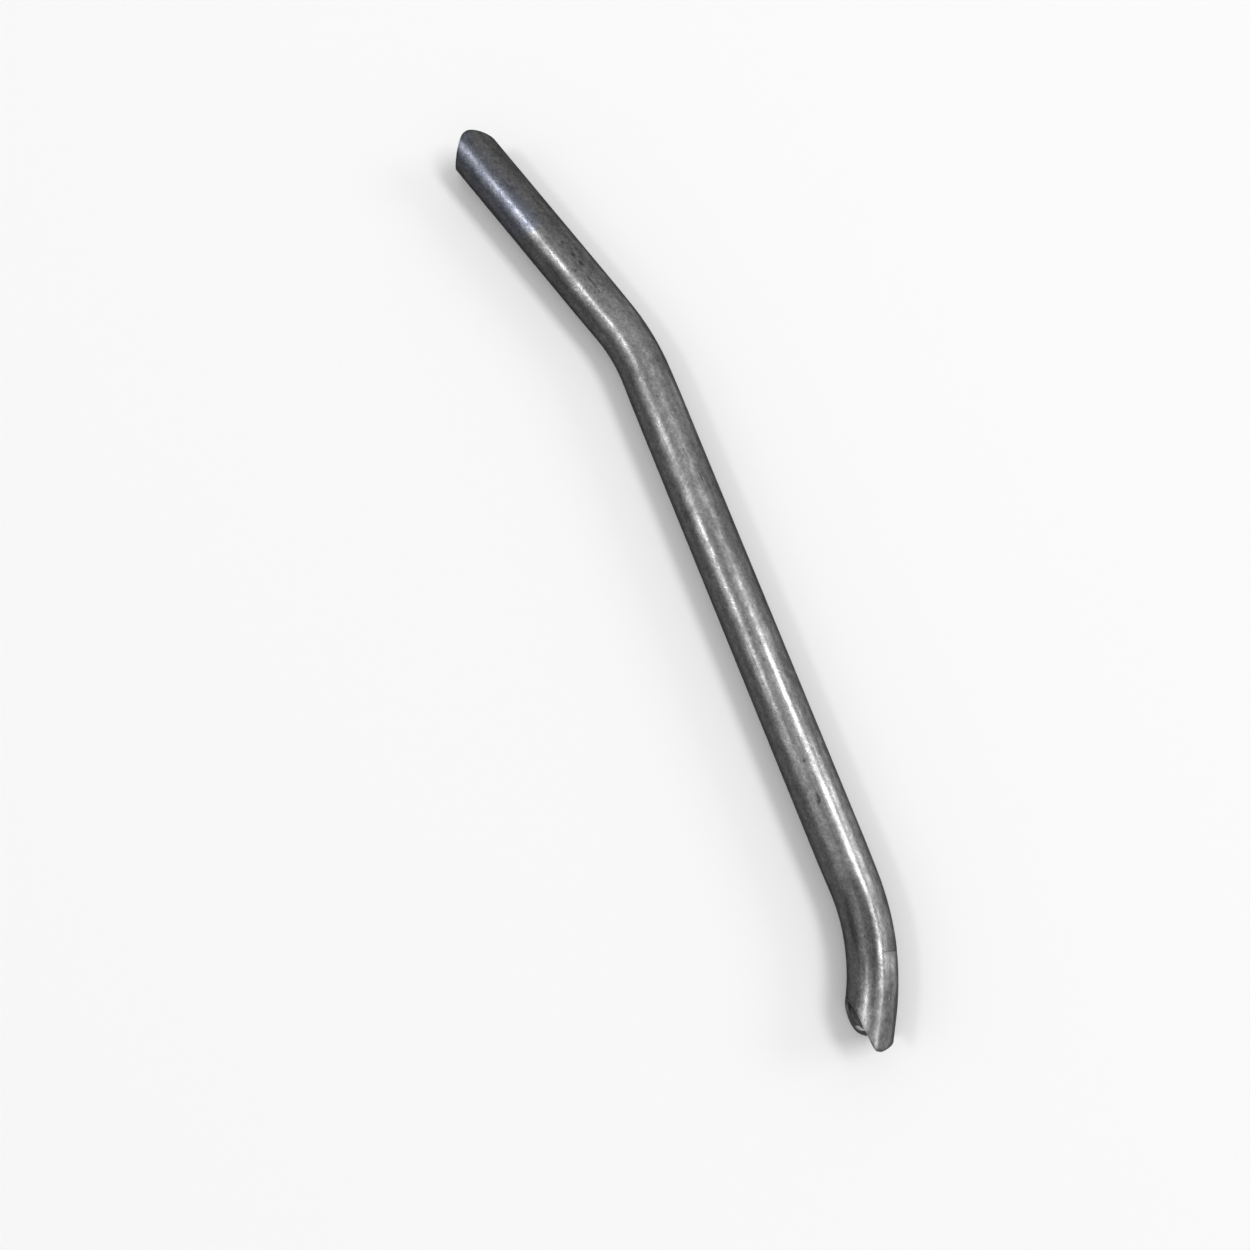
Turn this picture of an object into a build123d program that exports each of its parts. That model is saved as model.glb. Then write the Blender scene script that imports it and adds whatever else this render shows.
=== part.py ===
from build123d import *
import os
from math import cos, radians, sin

# Roll cage support: a length of round steel tube, bent twice in one plane and saddle-cut
# at both ends so that it can be welded between two tubes of a cage.
# Millimetres. The tube lies flat on the ground, its middle run along Y and both ends
# turned to -X. The origin is on the ground at the centre of the tube's outline.

# The tube
TUBE_DIAMETER = 44.45
WALL = 3.05

# The centre line, from the upper end (+Y) to the lower end (-Y). The two end runs go
# from the end of their bend to the tube's sawn end.
MIDDLE_RUN = 474.0
BEND_RADIUS = 203.2
UPPER_BEND_ANGLE = 17.0
LOWER_BEND_ANGLE = 31.0
UPPER_RUN = 216.4
LOWER_RUN = 27.4

# Bending draws the section in across the plane of the bend and lets it swell a little
# the other way. The change of section fades in and out over a length of tube that is
# centred on each end of the bend.
UPPER_DRAW_IN = 0.6
LOWER_DRAW_IN = 0.9
SWELL_SHARE = 0.4
FADE = 64.0
STATION_SPACING = 16.0

# The sawn ends are then cut to saddles, as round as the cage tube that each one seats on.
# What is left of the sawn end is a narrow flat on the lobes. The seated tube's axis
# crosses the centre line ahead of the sawn end. Its lean turns it out of square, towards
# the tube's end on the outside of the bends. Its roll turns it about the tube, with the
# outside going down to the ground, and its offset moves it off the centre line.
SADDLE_DIAMETER = 48.3
UPPER_AHEAD = 9.6
UPPER_LEAN_ANGLE = -4.0
UPPER_ROLL_ANGLE = 6.0
UPPER_OFFSET = 0.0
LOWER_AHEAD = 5.0
LOWER_LEAN_ANGLE = 30.0
LOWER_ROLL_ANGLE = 15.0
LOWER_OFFSET = -1.5

# How far the cutting bodies run past the metal they cut
OVERRUN = 5.0

MIDDLE_DIRECTION = Vector(0, 1, 0)
OUTWARD = Vector(1, 0, 0)
UP = Vector(0, 0, 1)


def ease(share):
    """0 to 1 as share goes from 0 to 1, starting and ending level."""
    share = min(max(share, 0.0), 1.0)
    return share * share * (3 - 2 * share)


class End:
    """One bend with its end run, followed from the middle run outwards."""

    def __init__(self, side, angle, run, draw_in):
        self.side = side
        self.angle = radians(angle)
        self.arc = BEND_RADIUS * self.angle
        self.run = run
        self.draw_in = draw_in
        self.start = MIDDLE_DIRECTION * (side * MIDDLE_RUN / 2)

    def turned(self, distance):
        return min(max(distance, 0.0), self.arc) / BEND_RADIUS

    def direction(self, distance):
        turn = self.turned(distance)
        return MIDDLE_DIRECTION * (self.side * cos(turn)) - OUTWARD * sin(turn)

    def outward(self, distance):
        turn = self.turned(distance)
        return OUTWARD * cos(turn) + MIDDLE_DIRECTION * (self.side * sin(turn))

    def point(self, distance):
        """The centre line at a developed distance from the start of the bend."""
        turn = self.turned(distance)
        on_arc = MIDDLE_DIRECTION * (self.side * sin(turn)) - OUTWARD * (1 - cos(turn))
        straight = distance - min(max(distance, 0.0), self.arc)
        return self.start + on_arc * BEND_RADIUS + self.direction(distance) * straight

    def plane(self, distance):
        """Square to the centre line, with its X across the tube in the plane of the bends."""
        return Plane(self.point(distance), self.outward(distance), self.direction(distance))

    def bending(self, distance):
        """How far the section is bent out of round here, from 0 to 1."""
        into = ease((distance + FADE / 2) / FADE)
        out_of = ease((self.arc - distance + FADE / 2) / FADE)
        return into * out_of

    def section(self, distance, radius):
        change = self.draw_in * self.bending(distance)
        return self.plane(distance) * Ellipse(radius - change, radius + change * SWELL_SHARE)


def bent_bar(radius, overrun):
    """The solid inside one surface of the tube, from end to end."""
    bar = None
    for end in (upper, lower):
        finish = end.arc + end.run + overrun
        faded = min(end.arc + FADE / 2, finish)
        first = -FADE / 2
        spans = max(2, round((faded - first) / STATION_SPACING))
        stations = [first + (faded - first) * i / spans for i in range(spans + 1)]
        pieces = [loft([end.section(station, radius) for station in stations])]
        if finish > faded:
            pieces.append(extrude(end.plane(faded) * Circle(radius), finish - faded))
        half_middle = MIDDLE_RUN / 2 - FADE / 2
        pieces.append(extrude(end.plane(first) * Circle(radius), -half_middle))
        for piece in pieces:
            bar = piece if bar is None else bar + piece
    return bar


def saddle(end, ahead, lean, roll, offset):
    """The cylinder that cuts the saddle, in the place of the tube that it will seat on."""
    tip = end.arc + end.run + ahead
    along = end.direction(tip)
    across = end.outward(tip) * cos(radians(roll)) - UP * sin(radians(roll))
    lobes = end.outward(tip) * sin(radians(roll)) + UP * cos(radians(roll))
    axis = across * cos(radians(lean)) + along * sin(radians(lean))
    length = 2 * (TUBE_DIAMETER / cos(radians(lean)) + OVERRUN)
    centre = end.point(tip) + lobes * offset
    return Plane(centre, lobes, axis) * Cylinder(SADDLE_DIAMETER / 2, length)


upper = End(1, UPPER_BEND_ANGLE, UPPER_RUN, UPPER_DRAW_IN)
lower = End(-1, LOWER_BEND_ANGLE, LOWER_RUN, LOWER_DRAW_IN)

outside = bent_bar(TUBE_DIAMETER / 2, 0)
inside = bent_bar(TUBE_DIAMETER / 2 - WALL, OVERRUN)
tube = outside - inside
tube -= saddle(upper, UPPER_AHEAD, UPPER_LEAN_ANGLE, UPPER_ROLL_ANGLE, UPPER_OFFSET)
tube -= saddle(lower, LOWER_AHEAD, LOWER_LEAN_ANGLE, LOWER_ROLL_ANGLE, LOWER_OFFSET)

# Set the tube down on the ground, with the origin under the centre of its outline
outline = tube.bounding_box()
tube = Pos(-outline.center().X, -outline.center().Y, -outline.min.Z) * tube

os.makedirs("parts", exist_ok=True)
export_step(tube, "parts/cage_tube.step")
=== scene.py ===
from math import atan2, cos, pi, radians, sin

import bmesh
import bpy
from mathutils import Matrix, Vector


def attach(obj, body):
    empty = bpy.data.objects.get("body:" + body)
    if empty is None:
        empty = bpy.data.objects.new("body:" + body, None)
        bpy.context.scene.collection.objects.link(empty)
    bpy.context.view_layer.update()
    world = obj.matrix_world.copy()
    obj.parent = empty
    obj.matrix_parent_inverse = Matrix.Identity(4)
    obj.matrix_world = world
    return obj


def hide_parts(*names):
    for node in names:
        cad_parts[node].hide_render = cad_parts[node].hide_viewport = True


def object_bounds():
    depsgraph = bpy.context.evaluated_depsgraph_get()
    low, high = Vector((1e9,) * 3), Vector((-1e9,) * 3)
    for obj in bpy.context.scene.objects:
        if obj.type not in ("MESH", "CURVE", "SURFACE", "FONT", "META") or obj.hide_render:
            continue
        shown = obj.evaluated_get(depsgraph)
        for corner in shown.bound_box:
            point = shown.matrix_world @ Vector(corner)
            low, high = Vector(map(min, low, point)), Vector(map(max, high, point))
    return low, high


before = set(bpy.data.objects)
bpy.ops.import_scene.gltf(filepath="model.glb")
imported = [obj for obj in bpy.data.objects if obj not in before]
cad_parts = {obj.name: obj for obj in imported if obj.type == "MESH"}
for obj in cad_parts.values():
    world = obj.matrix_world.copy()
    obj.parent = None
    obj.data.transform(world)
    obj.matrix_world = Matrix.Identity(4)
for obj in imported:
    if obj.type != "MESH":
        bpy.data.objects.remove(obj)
cad_low, cad_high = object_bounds()


# The tube
# One length of round seamless steel tube, 44.45 mm across with a wall of 3.05 mm. It was
# drawn straight, bent twice in one plane on a tube bender, and then cut to a saddle at
# each end with a hole saw, for welding between two tubes of a roll cage.

RADIUS = 0.04445 / 2
WALL = 0.00305
BORE_RADIUS = RADIUS - WALL
MIDDLE_RUN = 0.474
BEND_RADIUS = 0.2032
SADDLE_RADIUS = 0.0483 / 2

# A bend draws the section in across its plane, and lets it swell by a share of that the other
# way. The change of section fades in and out over a length of tube.
SWELL_SHARE = 0.4
FADE = 0.064

# The cut's outer edge is worn, and its inner edge is deburred
WORN_EDGE = 0.00022
DEBURRED_EDGE = 0.0006

# The bender's die left a step across the outside of the lower bend, at this distance down
# the tube. It deepens between two angles round the tube, given by their cosines.
STEP_AT = 0.8098
STEP_LENGTH = 0.0008
STEP_DEPTH = 0.00015
STEP_SIDES = (0.26, 0.38)

# The mesh has so many lines round the tube, and rings at this spacing along each wall. In
# the end zones the rings close up to the cuts, and edges past this angle stay crisp.
AROUND = 128
RING_SPACING = 0.003
INNER_RING_SPACING = 0.006
END_ZONE = 0.058
CRISP_ANGLE = 20

ALONG_MIDDLE = Vector((0, 1, 0))
OUTWARD = Vector((1, 0, 0))
UP = Vector((0, 0, 1))


def ease(share):
    share = min(max(share, 0.0), 1.0)
    return share * share * (3 - 2 * share)


class TubeEnd:
    """One bend with its end run and its saddle, followed from the middle run outwards."""

    def __init__(self, side, angle, run, draw_in, ahead, lean, roll, offset):
        self.side = side
        self.arc = BEND_RADIUS * radians(angle)
        self.sawn = self.arc + run
        self.draw_in = draw_in
        tip = self.sawn + ahead
        point, outward, along = self.centre_line(tip)
        across = outward * cos(radians(roll)) - UP * sin(radians(roll))
        lobes = outward * sin(radians(roll)) + UP * cos(radians(roll))
        self.saddle_centre = point + lobes * offset
        self.saddle_axis = across * cos(radians(lean)) + along * sin(radians(lean))

    def centre_line(self, distance):
        """Point, outward direction and direction of travel at a developed distance."""
        turned = min(max(distance, 0.0), self.arc)
        turn = turned / BEND_RADIUS
        along = ALONG_MIDDLE * (self.side * cos(turn)) - OUTWARD * sin(turn)
        outward = OUTWARD * cos(turn) + ALONG_MIDDLE * (self.side * sin(turn))
        point = ALONG_MIDDLE * (self.side * (MIDDLE_RUN / 2 + BEND_RADIUS * sin(turn)))
        point -= OUTWARD * (BEND_RADIUS * (1 - cos(turn)))
        return point + along * (distance - turned), outward, along

    def wall(self, distance, around, radius):
        """A point on the bent wall. Bending draws the section in across the bend's plane."""
        into = ease((distance + FADE / 2) / FADE)
        out_of = ease((self.arc - distance + FADE / 2) / FADE)
        change = self.draw_in * into * out_of
        point, outward, along = self.centre_line(distance)
        point = point + outward * ((radius - change) * cos(around))
        return point + UP * ((radius + change * SWELL_SHARE) * sin(around))

    def cut(self, around, radius):
        """The developed distance at which the saddle or the sawn end stops this line."""
        near, far = self.sawn - END_ZONE, self.sawn
        for halving in range(30):
            middle = (near + far) / 2
            from_centre = self.wall(middle, around, radius) - self.saddle_centre
            if from_centre.cross(self.saddle_axis).length < SADDLE_RADIUS:
                far = middle
            else:
                near = middle
        return far


upper = TubeEnd(
    side=1, angle=17, run=0.2164, draw_in=0.0006, ahead=0.0096, lean=-4, roll=6, offset=0
)
lower = TubeEnd(
    side=-1, angle=31, run=0.0274, draw_in=0.0009, ahead=0.005, lean=30, roll=15, offset=-0.0015
)
LENGTH = upper.sawn + MIDDLE_RUN + lower.sawn


def bent(down, around, radius):
    """Where a point of the straight tube goes, from its distance down from the upper end."""
    if down < upper.sawn + MIDDLE_RUN / 2:
        return upper.wall(upper.sawn - down, around, radius)
    return lower.wall(down - upper.sawn - MIDDLE_RUN, around, radius)


def draw_wall(tube, radius, spacing):
    """Draws one wall of the straight tube, and returns the rings of edges at its two ends."""
    middle = Matrix.Translation((0, 0, LENGTH / 2))
    wall = bmesh.ops.create_cone(
        tube, segments=AROUND, radius1=radius, radius2=radius, depth=LENGTH, matrix=middle
    )
    edges = dict.fromkeys(edge for vert in wall["verts"] for edge in vert.link_edges)
    ends = {edge: sum(vert.co.z > LENGTH / 2 for vert in edge.verts) for edge in edges}
    first = [edge for edge in edges if ends[edge] == 0]
    lines = [edge for edge in edges if ends[edge] == 1]
    last = [edge for edge in edges if ends[edge] == 2]
    bmesh.ops.subdivide_edges(tube, edges=lines, cuts=round(LENGTH / spacing) - 1)
    return first, last


tube = bmesh.new()
straight = tube.verts.layers.float_vector.new("straight")
to_cut = tube.verts.layers.float.new("to_cut")

outer_rings = draw_wall(tube, RADIUS, RING_SPACING)
inner_rings = draw_wall(tube, BORE_RADIUS, INNER_RING_SPACING)

# Each line along the wall is cut to its saddles, and the last rings close up to the cuts
cuts = {}
for vert in tube.verts:
    around = atan2(vert.co.y, vert.co.x)
    radius = RADIUS if vert.co.xy.length > RADIUS - WALL / 2 else BORE_RADIUS
    line = (round(around, 5), radius)
    if line not in cuts:
        start = upper.sawn - upper.cut(around, radius)
        finish = upper.sawn + MIDDLE_RUN + lower.cut(around, radius)
        cuts[line] = (start, finish)
    start, finish = cuts[line]
    down = vert.co.z
    if down < END_ZONE:
        down = start + down * (END_ZONE - start) / END_ZONE
    if down > LENGTH - END_ZONE:
        rest = LENGTH - down
        down = finish - rest * (finish - LENGTH + END_ZONE) / END_ZONE
    if abs(down - STEP_AT) < RING_SPACING:
        down = STEP_AT + (STEP_LENGTH / 2 if down > STEP_AT else -STEP_LENGTH / 2)
    vert[straight] = (vert.co.x, vert.co.y, down)
    vert[to_cut] = min(down - start, finish - down)
    if radius == RADIUS and down > STEP_AT:
        radius -= STEP_DEPTH * ease((cos(around) - STEP_SIDES[0]) / (STEP_SIDES[1] - STEP_SIDES[0]))
    vert.co = bent(down, around, radius)

# The outer wall is the drawn finish, the bore the scaled one, and the cuts are bare metal
for face in tube.faces:
    face.material_index = 0 if face.verts[0][straight].xy.length > RADIUS - WALL / 2 else 1
    face.smooth = True
for outer_ring, inner_ring in zip(outer_rings, inner_rings):
    bridged = bmesh.ops.bridge_loops(tube, edges=outer_ring + inner_ring)
    for face in bridged["faces"]:
        face.material_index = 2
        face.smooth = True
bmesh.ops.recalc_face_normals(tube, faces=tube.faces)

# Set down where the solid lies
low = Vector([min(vert.co[axis] for vert in tube.verts) for axis in range(3)])
high = Vector([max(vert.co[axis] for vert in tube.verts) for axis in range(3)])
place = (cad_low + cad_high - low - high) / 2
place.z = cad_low.z - low.z
bmesh.ops.translate(tube, verts=tube.verts, vec=place)

for rings, offset in ((outer_rings, WORN_EDGE), (inner_rings, DEBURRED_EDGE)):
    rims = [edge for ring in rings for edge in ring]
    rounded = bmesh.ops.bevel(
        tube, geom=rims, offset=offset, segments=2, profile=0.5, affect="EDGES", material=-1
    )
    for face in rounded["faces"]:
        face.material_index = 2
for edge in tube.edges:
    if len(edge.link_faces) == 2 and edge.calc_face_angle() > radians(CRISP_ANGLE):
        edge.smooth = False

tube_mesh = bpy.data.meshes.new("bent_tube")
tube.to_mesh(tube_mesh)
tube.free()
bent_tube = bpy.data.objects.new("bent_tube", tube_mesh)
bpy.context.scene.collection.objects.link(bent_tube)


class Shade:
    """A value on its way through a finish. Sums written with it become Math nodes."""

    def __init__(self, finish, socket):
        self.finish = finish
        self.socket = socket

    def combined(self, operation, first, second):
        return self.finish.node("ShaderNodeMath", {"operation": operation}, {0: first, 1: second})

    def __add__(self, other):
        return self.combined("ADD", self, other)

    def __radd__(self, other):
        return self.combined("ADD", other, self)

    def __sub__(self, other):
        return self.combined("SUBTRACT", self, other)

    def __rsub__(self, other):
        return self.combined("SUBTRACT", other, self)

    def __mul__(self, other):
        return self.combined("MULTIPLY", self, other)

    def __rmul__(self, other):
        return self.combined("MULTIPLY", other, self)

    def __truediv__(self, other):
        return self.combined("DIVIDE", self, other)

    def __pow__(self, other):
        return self.combined("POWER", self, other)


class Finish:
    """A material whose nodes are made one after another."""

    def __init__(self, name):
        self.material = bpy.data.materials.new(name)
        self.material.use_nodes = True
        self.tree = self.material.node_tree
        self.tree.nodes.clear()

    def node(self, kind, settings, sockets, output=0):
        made = self.tree.nodes.new(kind)
        for name, value in settings.items():
            setattr(made, name, value)
        for key, value in sockets.items():
            if isinstance(value, Shade):
                self.tree.links.new(value.socket, made.inputs[key])
            else:
                made.inputs[key].default_value = value
        return Shade(self, made.outputs[output]) if made.outputs else None


def rise(value, low, high):
    """0 below low, 1 above high, and smooth between."""
    return value.finish.node(
        "ShaderNodeMapRange",
        {"interpolation_type": "SMOOTHSTEP"},
        {0: value, 1: low, 2: high, 3: 0.0, 4: 1.0},
    )


def stretched(vector, scale, turn=(0.0, 0.0, 0.0), shift=(0.0, 0.0, 0.0)):
    return vector.finish.node(
        "ShaderNodeMapping", {}, {0: vector, 1: shift, 2: turn, 3: scale}
    )


def clouds(vector, detail, roughness=0.5, output=0):
    return vector.finish.node(
        "ShaderNodeTexNoise",
        {},
        {"Vector": vector, "Scale": 1.0, "Detail": detail, "Roughness": roughness},
        output,
    )


def grey(level):
    return (level, level, level, 1)


def mixed(factor, first, second):
    return factor.finish.node(
        "ShaderNodeMix", {"data_type": "RGBA"}, {0: factor, 6: first, 7: second}, 2
    )


drawn_steel = Finish("drawn_steel")
on_tube = drawn_steel.node("ShaderNodeAttribute", {"attribute_name": "straight"}, {}, 1)
from_cut = drawn_steel.node("ShaderNodeAttribute", {"attribute_name": "to_cut"}, {}, 2)
side = drawn_steel.node("ShaderNodeSeparateXYZ", {}, {0: on_tube}, 0) / RADIUS
up = drawn_steel.node("ShaderNodeSeparateXYZ", {}, {0: on_tube}, 1) / RADIUS
down = drawn_steel.node("ShaderNodeSeparateXYZ", {}, {0: on_tube}, 2)

# Lines and grain from the drawing die, and blotches in the oxide on top of them
draw_lines = clouds(stretched(on_tube, (1300, 1300, 8)), 3, 0.6)
broad_lines = clouds(stretched(on_tube, (330, 330, 16)), 3, 0.6)
grain = clouds(stretched(on_tube, (620, 620, 110)), 3, 0.6)
blotches = clouds(stretched(on_tube, (95, 95, 46)), 4, 0.55)
oxide = clouds(stretched(on_tube, (230, 230, 120)), 5, 0.62)
waves = clouds(stretched(on_tube, (70, 70, 28)), 2, 0.5)
mottle = clouds(stretched(on_tube, (520, 520, 380)), 4, 0.65)

# Handling scratches lie at a slant on the unrolled wall, whose seam is underneath
across = RADIUS * drawn_steel.node(
    "ShaderNodeMath", {"operation": "ARCTAN2"}, {0: side, 1: up}
)
unrolled = drawn_steel.node("ShaderNodeCombineXYZ", {}, {0: across, 1: down})
scratches = 0.0
for slant, width, length in ((34, 900, 60), (-50, 800, 70), (64, 850, 65)):
    turned = stretched(unrolled, (1, 1, 1), (0, 0, radians(slant)), (slant, 0, 0))
    scratches = rise(clouds(stretched(turned, (width, length, 1)), 2), 0.56, 0.66) + scratches


def strayed(vector, amount, scale, detail):
    """The same places, each moved a little by its own cloud, so that edges drawn there fray."""
    drift = clouds(stretched(vector, scale), detail, 0.6, 1)
    return vector.finish.node(
        "ShaderNodeVectorMath", {"operation": "MULTIPLY_ADD"}, {0: drift, 1: amount, 2: vector}
    )


def patch(where, drift, place, around, length, width, soft=0.45, radius=RADIUS):
    """1 on an oval patch at a distance down the tube and an angle round it, and 0 elsewhere."""
    centre = (
        radius * cos(radians(around)) + drift[0] / 2,
        radius * sin(radians(around)) + drift[1] / 2,
        place + drift[2] / 2,
    )
    size = (2 / width, 2 / width, 2 / length)
    finish = where.finish
    away = finish.node("ShaderNodeVectorMath", {"operation": "SUBTRACT"}, {0: where, 1: centre})
    away = finish.node("ShaderNodeVectorMath", {"operation": "MULTIPLY"}, {0: away, 1: size})
    reach = finish.node("ShaderNodeVectorMath", {"operation": "LENGTH"}, {0: away}, 1)
    return 1 - rise(reach, soft, 1.0)


FRAY = (0.0014, 0.0014, 0.002)
ragged = strayed(on_tube, FRAY, (900, 900, 450), 3)
CLOUDING = (0.008, 0.008, 0.024)
clouded = strayed(on_tube, CLOUDING, (160, 160, 60), 4)

# Small pits, a few in every square centimetre, most of them near the upper end. They come in
# two sizes, each in a share of the cells that it could fill.
upper_part = 1 - rise(down, 0.15, 0.25)
crowd = 0.5 + 2.6 * upper_part
pits = 0.0
for cell, share in ((330, 0.10), (560, 0.07)):
    cells = stretched(ragged, (cell, cell, cell * 0.7))
    middle = drawn_steel.node("ShaderNodeTexVoronoi", {}, {"Vector": cells, "Scale": 1.0})
    colour = drawn_steel.node("ShaderNodeTexVoronoi", {}, {"Vector": cells, "Scale": 1.0}, 1)
    chance = drawn_steel.node("ShaderNodeSeparateColor", {}, {0: colour})
    chosen = 1 - rise(chance - share * crowd, 0.0, 0.02)
    pits = (1 - rise(middle, 0.14, 0.34)) * chosen + pits


def patches(where, drift, soft, places):
    total = 0.0
    for *place, amount in places:
        total = patch(where, drift, *place, soft) * amount + total
    return total


# Each mark is a distance down the tube, an angle round it, a length, a width and a strength
spots = patches(
    ragged,
    FRAY,
    0.45,
    (
        (0.0400, 76, 0.0060, 0.0040, 0.30),
        (0.0620, 79, 0.0060, 0.0036, 0.30),
        (0.0705, 83, 0.0050, 0.0024, 0.25),
        (0.0790, 76, 0.0030, 0.0022, 0.25),
        (0.1375, 76, 0.0050, 0.0030, 0.42),
        (0.1485, 58, 0.0042, 0.0034, 0.55),
        (0.1495, 73, 0.0030, 0.0026, 0.35),
        (0.1528, 75, 0.0062, 0.0044, 0.62),
        (0.1564, 77, 0.0034, 0.0024, 0.35),
        (0.1630, 74, 0.0084, 0.0032, 0.62),
        (0.1662, 71, 0.0050, 0.0024, 0.40),
        (0.1660, 95, 0.0036, 0.0034, 0.50),
        (0.1825, 82, 0.0210, 0.0026, 0.52),
        (0.1945, 83, 0.0060, 0.0034, 0.35),
        (0.1950, 73, 0.0040, 0.0028, 0.30),
        (0.3570, 83, 0.0080, 0.0018, 0.30),
        (0.3845, 68, 0.0120, 0.0020, 0.50),
        (0.3820, 63, 0.0070, 0.0016, 0.45),
        (0.3860, 76, 0.0060, 0.0034, 0.30),
        (0.5255, 100, 0.0052, 0.0034, 0.35),
        (0.5370, 88, 0.0050, 0.0026, 0.35),
        (0.5515, 94, 0.0050, 0.0026, 0.40),
        (0.6430, 97, 0.0042, 0.0036, 0.55),
        (0.6760, 98, 0.0110, 0.0032, 0.60),
        (0.6790, 102, 0.0050, 0.0026, 0.45),
        (0.8035, 70, 0.0130, 0.0012, 0.45),
        (0.8380, 72, 0.0030, 0.0024, 0.35),
        (0.8420, 62, 0.0060, 0.0040, 0.30),
        (0.8510, 66, 0.0070, 0.0040, 0.30),
        (0.8620, 60, 0.0050, 0.0030, 0.30),
    ),
)

# Handling has rubbed some stretches brighter
rubbed = patches(
    clouded,
    CLOUDING,
    0.55,
    (
        (0.148, 112, 0.280, 0.017, 0.50),
        (0.337, 110, 0.050, 0.014, 0.55),
        (0.362, 110, 0.020, 0.010, 0.35),
        (0.470, 115, 0.125, 0.013, 0.42),
        (0.575, 113, 0.130, 0.014, 0.76),
        (0.640, 79, 0.300, 0.014, 0.74),
        (0.774, 77, 0.110, 0.009, 0.60),
        (0.715, 60, 0.150, 0.013, 0.25),
        (0.820, 74, 0.024, 0.007, 0.40),
        (0.840, 103, 0.060, 0.012, 0.40),
        (0.862, 101, 0.030, 0.008, 0.55),
        (0.874, 77, 0.034, 0.008, 0.60),
    ),
)
shiny_start = patch(ragged, FRAY, 0.4260, 112, 0.0280, 0.0080, 0.85)
sheen = rise(0.45 * grain + 0.75 * blotches, 0.42, 0.80) - 0.35
burnished = rubbed + 0.42 * shiny_start + 0.9 * sheen

# The oxide is thin in some places and thick in others, most of all on the inside of a bend
# Painted highlight too: many lighter patches lie along the two highlights and brighten them there
thin_oxide_and_painted_highlight = patches(
    clouded,
    CLOUDING,
    0.40,
    (
        (0.350, 92, 0.200, 0.018, 0.20),
        (0.235, 96, 0.060, 0.016, 0.15),
        (0.580, 92, 0.120, 0.012, 0.18),
        (0.610, 79, 0.380, 0.019, 0.14),
        (0.700, 66, 0.180, 0.012, 0.26),
        (0.445, 118, 0.080, 0.012, 0.12),
        (0.817, 60, 0.022, 0.030, 0.22),
        (0.800, 60, 0.060, 0.016, 0.14),
        (0.858, 70, 0.012, 0.008, 0.25),
        (0.866, 104, 0.030, 0.009, 0.85),
        (0.832, 106, 0.044, 0.009, 0.36),
        (0.845, 73, 0.080, 0.008, 0.14),
        (0.875, 77, 0.030, 0.007, 0.50),
        (0.785, 75, 0.070, 0.008, 0.12),
    ),
)
# Painted shade too: many darker patches lie along the highlights and dim them there
thick_oxide_and_painted_shade = patches(
    clouded,
    CLOUDING,
    0.55,
    (
        (0.790, 106, 0.125, 0.030, 0.48),
        (0.705, 110, 0.110, 0.020, 0.16),
        (0.277, 92, 0.080, 0.050, 0.10),
        (0.450, 42, 0.300, 0.022, 0.24),
        (0.390, 72, 0.250, 0.016, 0.24),
        (0.600, 112, 0.080, 0.010, 0.10),
        (0.842, 60, 0.022, 0.014, 0.14),
        (0.848, 93, 0.060, 0.009, 0.18),
        (0.600, 56, 0.140, 0.018, 0.22),
        (0.778, 66, 0.050, 0.008, 0.22),
        (0.800, 84, 0.090, 0.008, 0.16),
        (0.455, 101, 0.080, 0.010, 0.12),
        (0.250, 34, 0.120, 0.016, 0.25),
    ),
)
chip = patch(ragged, FRAY, 0.8460, 58, 0.0030, 0.0016)

# The upper end was heated, and is tinted blue as far as a soft oblique edge
tint_cloud = clouds(stretched(on_tube, (110, 110, 90)), 3)
tint_edge = down + 0.020 * (tint_cloud - 0.5) - 0.008 * side
tinted = 1 - rise(tint_edge, 0.1080, 0.1190)
blue_left = rise(side + 0.5 * mottle, -0.85, -0.45)
blue_right = rise(side + 0.5 * blotches + 0.5 * mottle, 0.25, 0.95)
blue_band = blue_left * (1 - blue_right)
stained_side = side + 0.25 * (1 - rise(down, 0.04, 0.10))
stained = upper_part * rise(stained_side, -0.20, 0.15)
# Painted shade: the upper part is darker along its left edge
painted_left_edge_shade = upper_part * (1 - rise(side, -0.85, -0.65))

# The metal is bright just past the die's step, and dark along the step's own line
on_outside = rise(side, 0.30, STEP_SIDES[1])
past_step = rise(down, STEP_AT, STEP_AT + STEP_LENGTH) * on_outside
past_step = past_step * (1 - rise(down, 0.820, 0.845))
above_step = rise(down, STEP_AT - STEP_LENGTH, STEP_AT)
step_line = above_step * (1 - rise(down, STEP_AT, STEP_AT + 0.001)) * on_outside

# Painted shade: the flanks and the underside are darker than the top, the left flank most
right_flank = rise(side, -0.3, 0.3)
painted_lit_top = rise(up + 0.25 * (blotches - 0.5) - 0.25 + 0.17 * right_flank, 0.38, 0.68)
painted_flank_level = 0.42 + 0.18 * right_flank + 0.22 * right_flank * upper_part
painted_flank_shade = painted_flank_level + (1 - painted_flank_level) * painted_lit_top

# Next to a cut the steel is worn bright, with a burnt line behind that
worn_rim = 1 - rise(from_cut, 0.0004, 0.0010)
burnt_rim = (1 - rise(from_cut, 0.0014, 0.0030)) * (1 - worn_rim)
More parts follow.
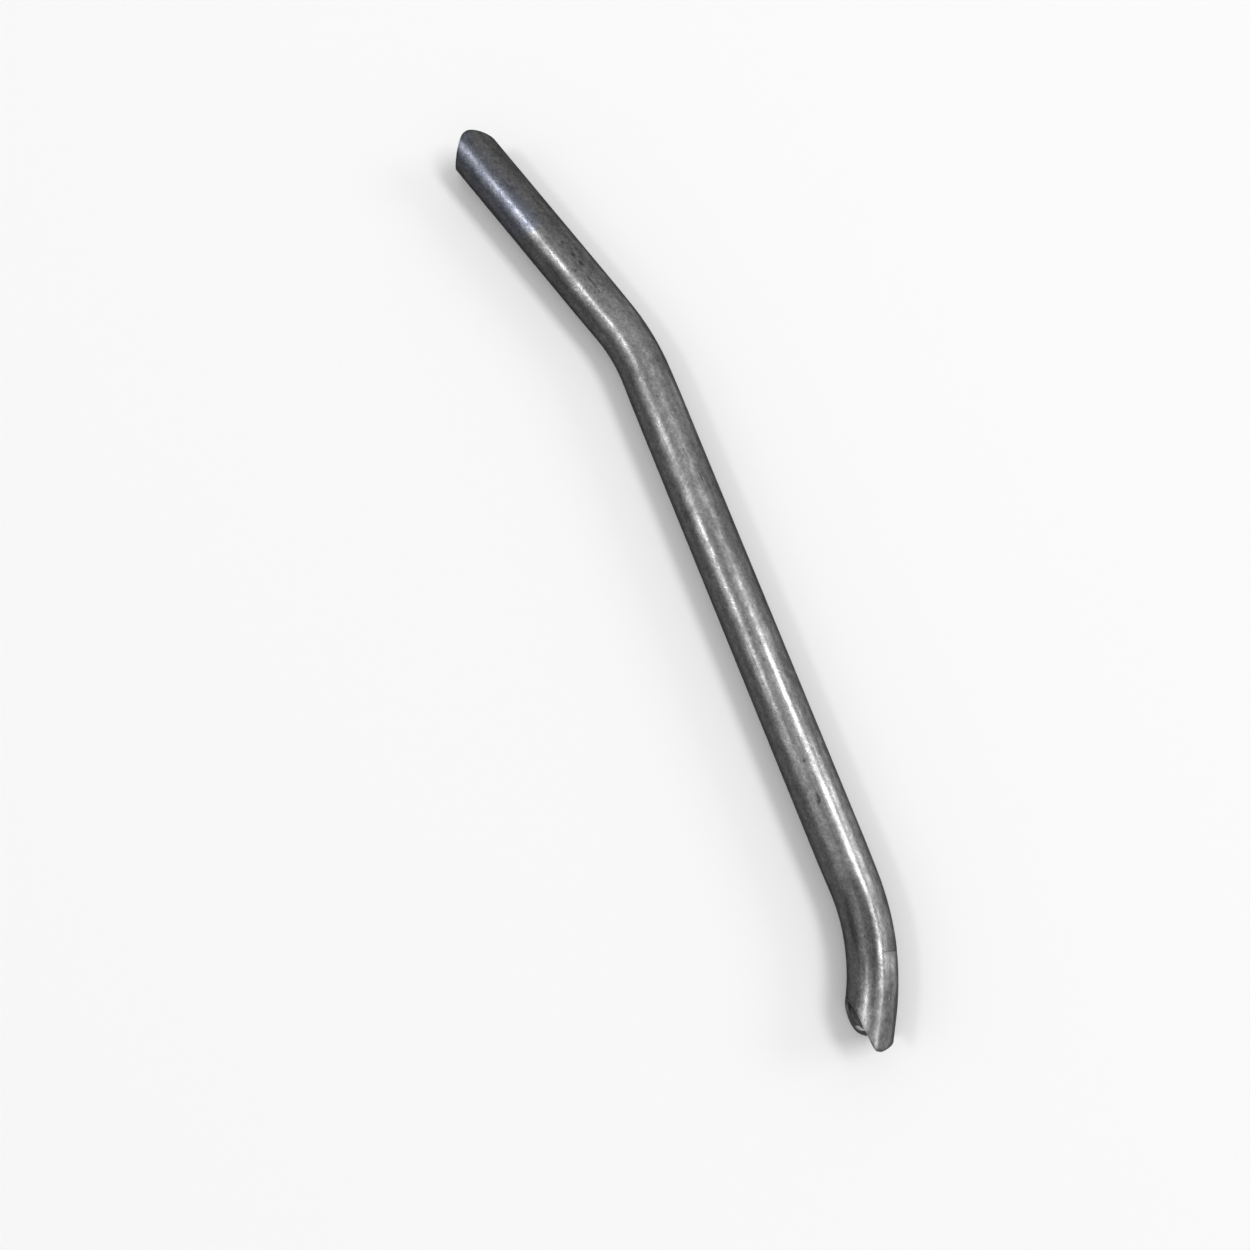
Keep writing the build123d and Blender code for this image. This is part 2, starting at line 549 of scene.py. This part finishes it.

# All of it, painted shade and highlights too, makes the brightness, colour, sheen and relief
uneven = 1 + (0.72 + 0.5 * right_flank) * (oxide - 0.5)
uneven = uneven * (1 + (1.5 - 0.35 * right_flank) * (mottle - 0.5))
uneven = uneven * (1 + (0.52 + 0.3 * right_flank) * (blotches - 0.5))
bright = uneven * (0.88 + 0.24 * broad_lines) * painted_flank_shade * (0.95 + 0.20 * scratches)
bright = bright * (1 - spots) * (1 - 0.34 * pits) * (1 + thin_oxide_and_painted_highlight) * (1 - thick_oxide_and_painted_shade)
bright = bright * (1 - 0.42 * stained) * (1 - 0.18 * painted_left_edge_shade)
bright = bright * (1 + 0.30 * past_step) * (1 - 0.35 * step_line)
bright = bright * (1 - 0.35 * burnt_rim) * (1 + 0.6 * worn_rim) * (1 + 1.2 * chip)
bright = bright * (1 - 0.06 * tinted * rise(side, -0.35, -0.05))
steel = mixed(rise(draw_lines, 0.2, 0.8), grey(0.202), grey(0.250))
cloudy = rise(mottle + 0.6 * blotches, 0.65, 0.95)
violet = mixed(cloudy, (0.194, 0.218, 0.264, 1), (0.217, 0.220, 0.256, 1))
olive = mixed(rise(oxide, 0.35, 0.65), (0.225, 0.219, 0.208, 1), (0.221, 0.219, 0.227, 1))
tint = mixed(blue_band, olive, violet)
base = drawn_steel.node(
    "ShaderNodeVectorMath", {"operation": "SCALE"}, {0: mixed(tinted, steel, tint), 3: bright}
)
gloss = drawn_steel.node("ShaderNodeClamp", {}, {0: burnished})
roughness = 0.42 - 0.15 * gloss + 0.15 * spots + 0.06 * (mottle - 0.5) - 0.02 * scratches
relief = 0.00004 * draw_lines + 0.00006 * waves + 0.000015 * mottle - 0.00010 * spots
relief = relief - 0.00002 * scratches - 0.00004 * pits
bump = drawn_steel.node("ShaderNodeBump", {}, {"Distance": 1.0, "Strength": 0.5, "Height": relief})

# Oxide takes the edge off the steel's shine at a low angle
DULL_EDGE = grey(0.35)
surface = drawn_steel.node(
    "ShaderNodeBsdfPrincipled",
    {},
    {
        "Base Color": base,
        "Metallic": 1.0,
        "Roughness": roughness,
        "Normal": bump,
        "Specular Tint": DULL_EDGE,
    },
)
drawn_steel.node("ShaderNodeOutputMaterial", {}, {0: surface})

# The bore still has its scale, and is dull
scaled_bore = Finish("scaled_bore")
in_bore = scaled_bore.node("ShaderNodeAttribute", {"attribute_name": "straight"}, {}, 1)
scale = clouds(stretched(in_bore, (260, 260, 90)), 5, 0.6)
scaled = mixed(rise(scale, 0.3, 0.7), grey(0.24), (0.48, 0.48, 0.47, 1))
bore_surface = scaled_bore.node(
    "ShaderNodeBsdfPrincipled",
    {},
    {"Base Color": scaled, "Metallic": 1.0, "Roughness": 0.40 + 0.20 * scale},
)
scaled_bore.node("ShaderNodeOutputMaterial", {}, {0: bore_surface})

# The saddles are bare where the saw went through, with its marks across the wall. A bright
# crescent near the inner edge of the lower one is a painted highlight.
cut_metal = Finish("cut_metal")
at_cut = cut_metal.node("ShaderNodeAttribute", {"attribute_name": "straight"}, {}, 1)
saw_marks = clouds(stretched(at_cut, (300, 300, 2600)), 3, 0.6)
crescent_places = strayed(at_cut, FRAY, (900, 900, 450), 3)
crescent_radius = BORE_RADIUS + DEBURRED_EDGE
painted_crescent = patch(crescent_places, FRAY, 0.8752, -100, 0.0052, 0.0130, 0.6, crescent_radius)
from_axis = cut_metal.node(
    "ShaderNodeVectorMath", {"operation": "LENGTH"}, {0: stretched(at_cut, (1, 1, 0))}, 1
)
painted_crescent = painted_crescent * (1 - rise(from_axis, BORE_RADIUS + 0.0002, BORE_RADIUS + 0.0028)) ** 2
sawn_metal = mixed(saw_marks, grey(0.08), grey(0.17))
saw_relief = cut_metal.node(
    "ShaderNodeBump", {}, {"Distance": 0.00004, "Strength": 0.5, "Height": saw_marks}
)
cut_surface = cut_metal.node(
    "ShaderNodeBsdfPrincipled",
    {},
    {
        "Base Color": mixed(painted_crescent, sawn_metal, grey(0.85)),
        "Metallic": 1.0,
        "Roughness": 0.26 + 0.14 * saw_marks + 0.1 * painted_crescent,
        "Normal": saw_relief,
        "Specular Tint": DULL_EDGE,
    },
)
cut_metal.node("ShaderNodeOutputMaterial", {}, {0: cut_surface})

for finish in (drawn_steel, scaled_bore, cut_metal):
    bent_tube.data.materials.append(finish.material)
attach(bent_tube, "root")
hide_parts("cage_tube")


# The floor
# A plain white table top under the tube, which takes its shadow. It is painted matt, and
# is wide enough to fill the picture.

floor_shape = bmesh.new()
bmesh.ops.create_grid(floor_shape, x_segments=1, y_segments=1, size=6.0)
floor_mesh = bpy.data.meshes.new("floor")
floor_shape.to_mesh(floor_mesh)
floor_shape.free()
floor = bpy.data.objects.new("floor", floor_mesh)
bpy.context.scene.collection.objects.link(floor)
white = Finish("white_top")
white_surface = white.node("ShaderNodeBsdfDiffuse", {}, {"Color": grey(0.96)})
white.node("ShaderNodeOutputMaterial", {}, {0: white_surface})
floor.data.materials.append(white.material)


# The light
# A soft lamp overhead on each side of the tube makes its two long highlights. Two fainter
# ones light its flanks, and a wide ceiling and an even pale room do the rest.


def lamp(name, direction, distance, width, length, level, tilt=0.0):
    """A flat lamp that faces the tube's middle, turned by tilt about the line between them."""
    light = bpy.data.lights.new(name, "AREA")
    light.shape = "RECTANGLE"
    light.size = width
    light.size_y = length
    light.energy = level * pi * width * length
    holder = bpy.data.objects.new(name, light)
    bpy.context.scene.collection.objects.link(holder)
    away = Vector(direction).normalized()
    side = ALONG_MIDDLE.cross(away).normalized()
    forward = away.cross(side)
    lean = Matrix.Rotation(radians(tilt), 3, away)
    side = lean @ side
    forward = lean @ forward
    turn = Matrix((side, forward, away)).transposed().to_4x4()
    holder.matrix_world = Matrix.Translation(away * distance) @ turn


lamp("left_lamp", (-0.55, 0.19, 0.81), 12.0, 1.5, 2.1, 16.5)
lamp("right_lamp", (0.49, -0.10, 0.87), 12.0, 2.4, 6.4, 9.3, 12.0)
lamp("far_lamp", (0.87, -0.14, 0.47), 12.0, 3.0, 5.0, 4.2)
lamp("low_lamp", (-0.78, 0.19, 0.60), 12.0, 2.5, 5.0, 1.3)
lamp("ceiling", (0.0, 0.5, 1.0), 13.0, 40.0, 21.0, 0.35)

world = bpy.data.worlds.new("room")
bpy.context.scene.world = world
world.use_nodes = True
room_light = world.node_tree.nodes["Background"]
room_light.inputs["Color"].default_value = grey(1.0)
room_light.inputs["Strength"].default_value = 0.375
bpy.context.scene.view_settings.view_transform = "Standard"


# The camera
# It looks down on the tube from about 1.3 m, nearly square to the table top. Its place and
# its three directions were worked out from the tube's outline.

camera = bpy.data.objects.new("camera", bpy.data.cameras.new("camera"))
bpy.context.scene.collection.objects.link(camera)
camera.data.lens = 43.2
camera.data.sensor_width = 36.0
standpoint = Vector((-0.11735, -0.22886, 1.30319))
right = Vector((0.93125077, -0.36390094, -0.0186579))
top = Vector((0.36218331, 0.91881238, 0.15686637))
back = Vector((-0.03994071, -0.15283951, 0.98744358))
turn = Matrix((right, top, back)).transposed().to_4x4()
camera.matrix_world = Matrix.Translation(standpoint) @ turn
bpy.context.scene.camera = camera
